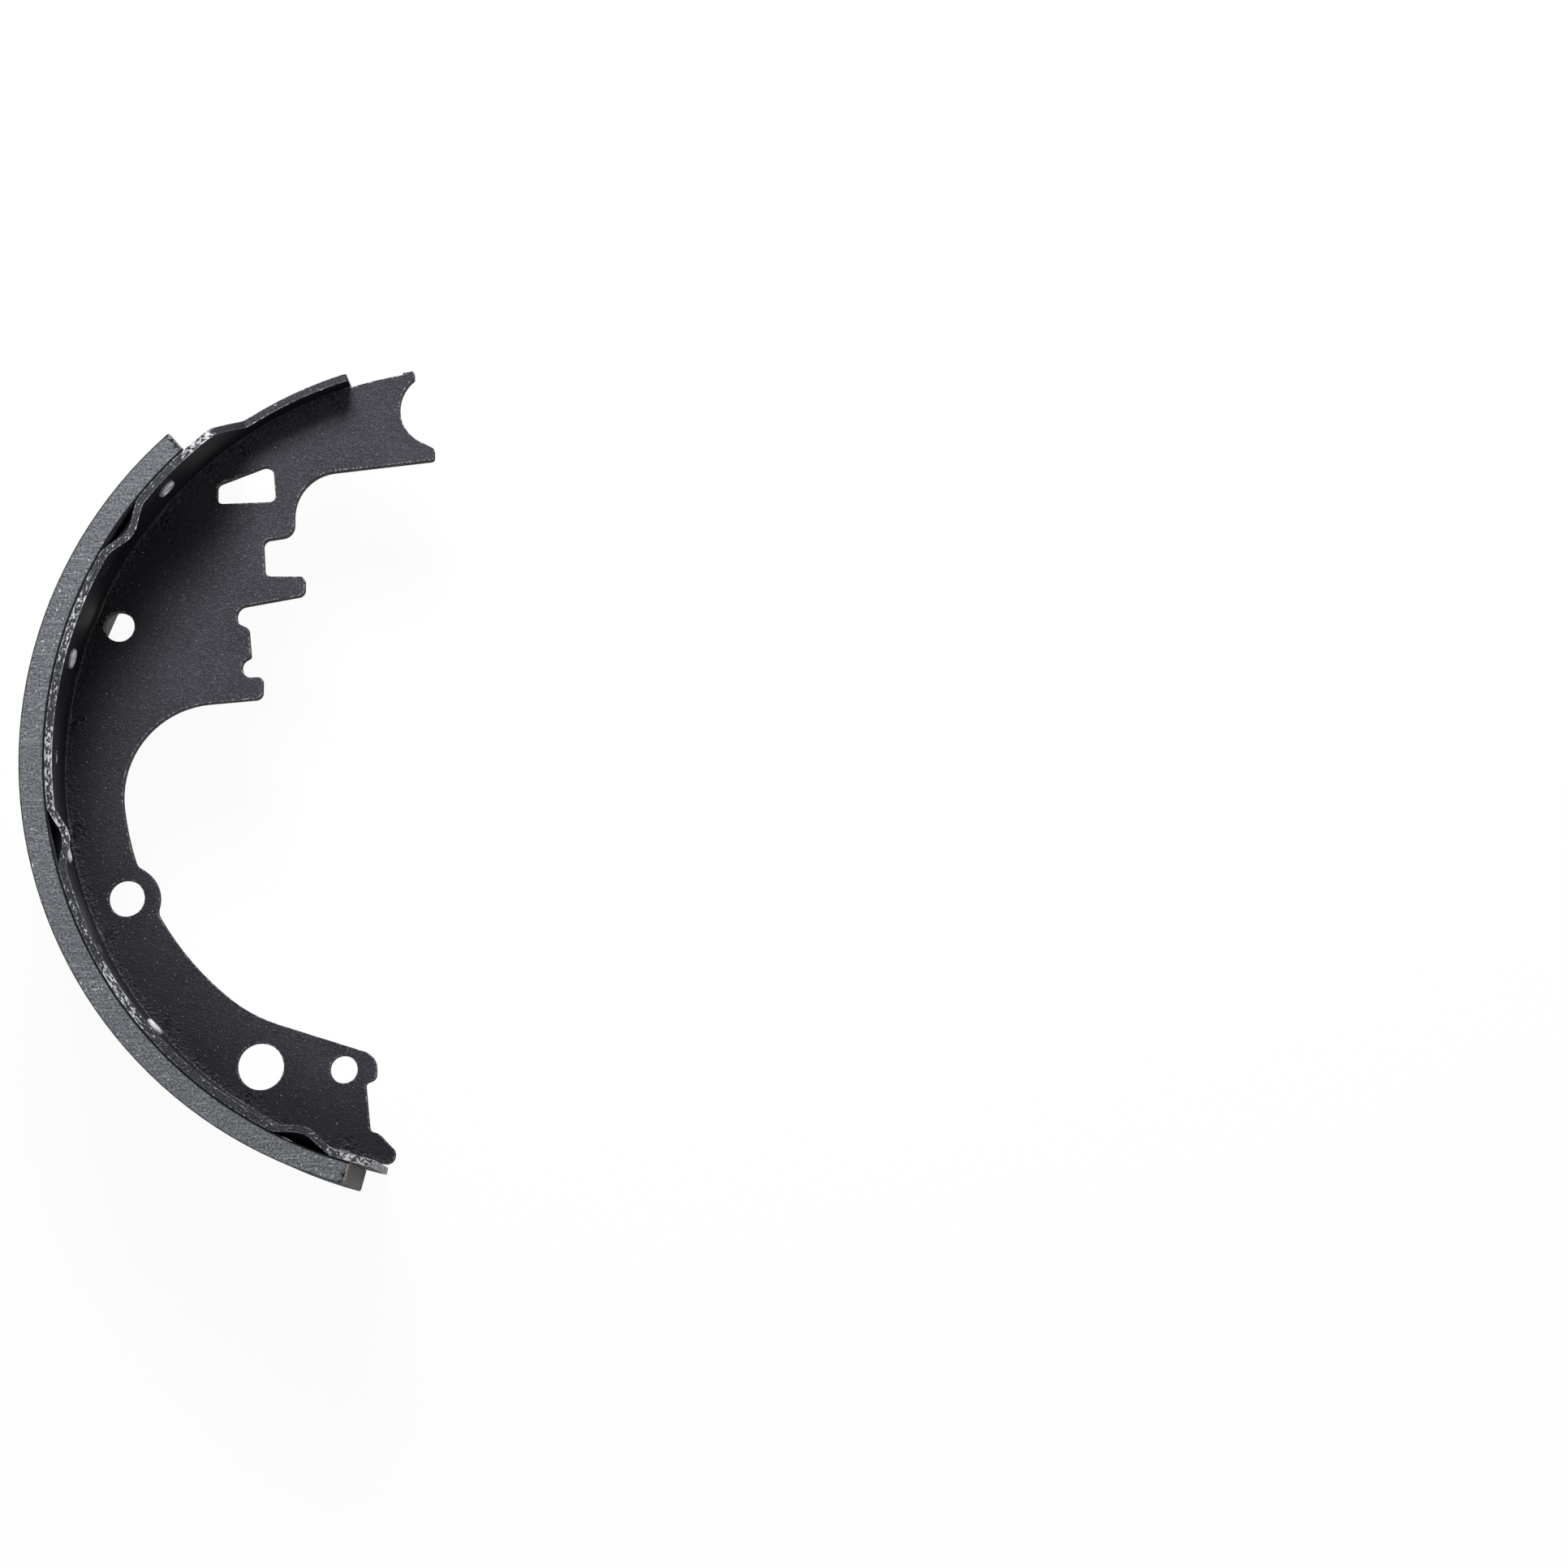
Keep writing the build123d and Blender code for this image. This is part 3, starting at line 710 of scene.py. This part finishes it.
def dark_borders(tree, arc, drum, flat, apart):
    """Dark lines on the sides: along the drum face, along the rim as painted shade of the gap to
    the rim, and before each cut end.
    """
    outer = ranged(tree, drum["Radius"], outer_border, results=(0.0, 0.85))
    # Painted shade: the side is darkened along the rim, where the gap between lining and rim lies
    # in shade.
    inner = ranged(tree, arc["Radius"], inner_border, results=(1.0, 0.0))
    crack = combined(tree, "COMPARE", apart, end_crack, end_crack_width)
    return both(tree, either(tree, either(tree, outer, inner), crack), flat)


def friction_block():
    """Blue-grey friction material with flakes, scratches on the sides and browner cut ends."""
    material, tree, shader, place = start_material("friction_material")
    grain = place_group(
        tree, coating_grain, place,
        grain_fineness=1500.0, mottle_fineness=1000.0, speck_fineness=1100.0, speck_limit=0.68,
    )
    arc = place_group(tree, arc_place, place)
    drum = place_group(tree, arc_place, place, centre=drum_axis)
    edge = place_group(
        tree, rubbed_edge, place, width=0.0007, break_fineness=700.0, break_limit=0.55
    )
    flat = flat_side(tree)
    on_face = combined(tree, "SUBTRACT", 1.0, flat)
    mottle = ranged(tree, grain["Mottle"], limits=(0.32, 0.68))
    colour = moulded_mix(tree, grain, mottle)
    colour = mixed(tree, both(tree, side_scratches(tree, place), flat), colour, lining_scratch)
    streaks = both(tree, face_streaks(tree, drum, place), on_face)
    colour = mixed(tree, streaks, colour, lining_dust)
    colour = mixed(tree, crowded_flakes(tree, grain, on_face, place), colour, lining_flake)
    apart = from_middle(tree, arc, place)
    at_end = ranged(tree, apart, end_limits, results=(0.0, 0.8))
    rubbed_brown = mixed(tree, grain["Grain"], lining_umber, lining_brown)
    colour = mixed(tree, at_end, colour, rubbed_brown)
    colour = mixed(tree, scaled(tree, edge["Edge"], by=0.6), colour, lining_scratch)
    borders = dark_borders(tree, arc, drum, flat, apart)
    # dark border lines; the one along the rim is painted shade
    colour = mixed(tree, borders, colour, lining_rim_shade)
    rough = ranged(tree, grain["Mottle"], cloud_limits, results=(0.74, 0.9))
    dress(tree, shader, colour, rough, gloss=0.25)
    height = summed(tree, grain["Grain"], scaled(tree, mottle, by=0.5))
    bump(tree, shader, height, strength=0.5, distance=0.0003)
    return material


repaint("lining", friction_block())

# Rivets: ten semi-tubular steel rivets, zinc plated. The flat head sits in the lining's
# counterbore and the hollow tail is rolled over against the inside of the rim.
rivet_bright = (0.72, 0.73, 0.74, 1)
rivet_dull = (0.48, 0.5, 0.52, 1)
rivet_soot_and_painted_shade = (0.06, 0.06, 0.065, 1)
hollow_depth = 0.0025


def zinc_plate():
    """Bright zinc, slightly clouded, with soot in the pits and painted shade in the hollow tails.
    """
    material, tree, shader, place = start_material("rivet_zinc_plate")
    grain = place_group(
        tree, coating_grain, place,
        grain_fineness=1600.0, mottle_fineness=500.0, speck_fineness=1200.0, speck_limit=0.68,
    )
    edge = place_group(
        tree, rubbed_edge, place, width=0.0003, break_fineness=1500.0, break_limit=0.4
    )
    mottle = ranged(tree, grain["Mottle"], cloud_limits)
    colour = mixed(tree, mottle, rivet_dull, rivet_bright)
    colour = mixed(tree, scaled(tree, grain["Specks"], by=0.7), colour, rivet_soot_and_painted_shade)
    colour = mixed(tree, scaled(tree, edge["Edge"], by=0.6), colour, rivet_bright)
    # Painted shade: the zinc is darkened inside the hollow tails and other close hollows, where
    # light is kept out.
    hollow = add_node(tree, "ShaderNodeAmbientOcclusion", samples=8)
    hollow.inputs["Distance"].default_value = hollow_depth
    painted_bore_shade = ranged(tree, hollow.outputs["AO"], limits=(0.25, 0.6), results=(0.9, 0.0))
    colour = mixed(tree, painted_bore_shade, colour, rivet_soot_and_painted_shade)
    dress(tree, shader, colour, ranged(tree, grain["Mottle"], cloud_limits, results=(0.26, 0.42)))
    shader.inputs["Metallic"].default_value = 0.3
    bump(tree, shader, grain["Grain"], strength=0.2, distance=0.0001)
    return material


zinc = zinc_plate()
for node_name in frame["nodes"]:
    if node_name.startswith("lining_rivet"):
        repaint(node_name, zinc)

# Floor: plain pale board under the shoe. The camera and the metal see it white, and the
# shoe's shadow stays on it.
floor_size = 4.0
floor_drop = 0.0002
floor_glow = 0.95
floor_pale = (0.9, 0.9, 0.9, 1)
pure_white = (1, 1, 1, 1)


def glowing_board():
    """Pale board that shows itself as white to the camera and to reflections."""
    material, tree, shader, _ = start_material("floor_white")
    dress(tree, shader, floor_pale, rough=0.9)
    rays = add_node(tree, "ShaderNodeLightPath").outputs
    seen = either(tree, rays["Is Camera Ray"], rays["Is Glossy Ray"])
    seen = either(tree, seen, rays["Is Transmission Ray"])
    white = add_node(tree, "ShaderNodeEmission")
    white.inputs["Color"].default_value = pure_white
    joined = add_node(tree, "ShaderNodeMixShader")
    feed(tree, scaled(tree, seen, by=floor_glow), joined.inputs["Fac"])
    feed(tree, shader.outputs["BSDF"], joined.inputs[1])
    feed(tree, white.outputs["Emission"], joined.inputs[2])
    output = [node for node in tree.nodes if node.type == "OUTPUT_MATERIAL"][0]
    feed(tree, joined.outputs["Shader"], output.inputs["Surface"])
    return material


board = bmesh.new()
bmesh.ops.create_grid(board, x_segments=1, y_segments=1, size=floor_size / 2)
board_mesh = bpy.data.meshes.new("floor")
board.to_mesh(board_mesh)
board.free()
board_mesh.transform(Matrix.Translation((0, 0, -floor_drop)))
floor = bpy.data.objects.new("floor", board_mesh)
bpy.context.scene.collection.objects.link(floor)
floor.data.materials.append(glowing_board())

# World and lamps: a plain white surround, a soft lamp high beyond the anchor end, whose light
# the rim keeps off the web beside it, and a weaker one at the right.
world_strength = 0.21
world = bpy.data.worlds.new("studio")
bpy.context.scene.world = world
world.use_nodes = True
surround = world.node_tree.nodes["Background"]
surround.inputs["Color"].default_value = pure_white
surround.inputs["Strength"].default_value = world_strength


def soft_lamp(name, place, size, power):
    """A square lamp that faces the shoe."""
    data = bpy.data.lights.new(name, "AREA")
    data.shape = "SQUARE"
    data.size = size
    data.energy = power
    lamp = bpy.data.objects.new(name, data)
    lamp.location = place
    lamp.rotation_mode = "QUATERNION"
    lamp.rotation_quaternion = (-Vector(place)).to_track_quat("-Z", "Y")
    bpy.context.scene.collection.objects.link(lamp)


soft_lamp("top_lamp", place=(-0.05, 0.84, 0.78), size=0.45, power=18.5)
soft_lamp("right_lamp", place=(0.75, 0.35, 0.8), size=0.5, power=2.5)

# Camera: nearly straight above, leaning a little, with the shoe at the left of the frame.
# Its place and turn were fitted to the photograph.
sensor_width_mm = 36
lens_mm = 138.21
camera_from_drum_axis = Vector((0.102297, -0.196485, 1.976996))
camera_turn = (0.0986379, -0.00055311, 0)
camera_data = bpy.data.cameras.new("camera")
camera_data.sensor_width = sensor_width_mm
camera_data.lens = lens_mm
camera = bpy.data.objects.new("camera", camera_data)
camera.location = drum_axis + camera_from_drum_axis
camera.rotation_euler = camera_turn
bpy.context.scene.collection.objects.link(camera)
bpy.context.scene.camera = camera
bpy.context.scene.view_settings.view_transform = "Standard"
